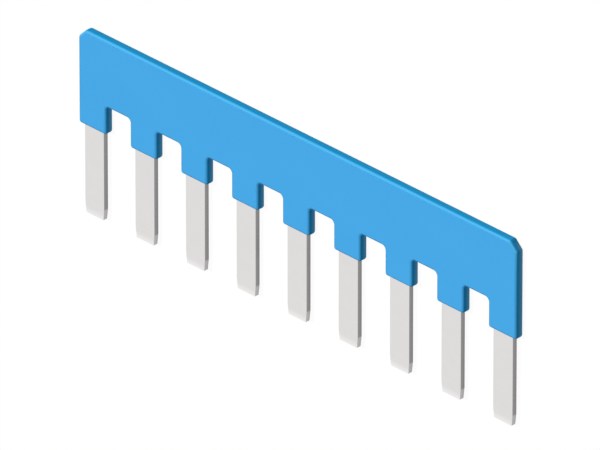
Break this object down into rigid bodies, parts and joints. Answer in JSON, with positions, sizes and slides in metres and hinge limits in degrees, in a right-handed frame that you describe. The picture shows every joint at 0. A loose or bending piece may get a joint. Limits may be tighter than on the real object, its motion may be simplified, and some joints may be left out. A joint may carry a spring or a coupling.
{
  "type": "parallel jumper bridge",
  "caption": "Flat insulated comb bridge whose plated metal prongs plug into a row of terminal block ways and join them in one conductor.",
  "frame": {"origin": "middle of the rectangle that the bridge covers, on the plane that the back of its housing lies on", "axes": "+X along the row of prongs, +Y from the prong tips to the closed top of the housing, +Z out of the front face"},
  "size_m": [0.0434, 0.015, 0.0008],
  "materials": {
    "blue_polyamide": "moulded polyamide, satin, bright blue",
    "tinned_copper": "tin-plated copper alloy strip, satin silver grey, with darker sheared edges"
  },
  "bodies": {
    "root": {"insulating_housing": "blue_polyamide", "contact_comb": "tinned_copper"}
  },
  "joints": []
}
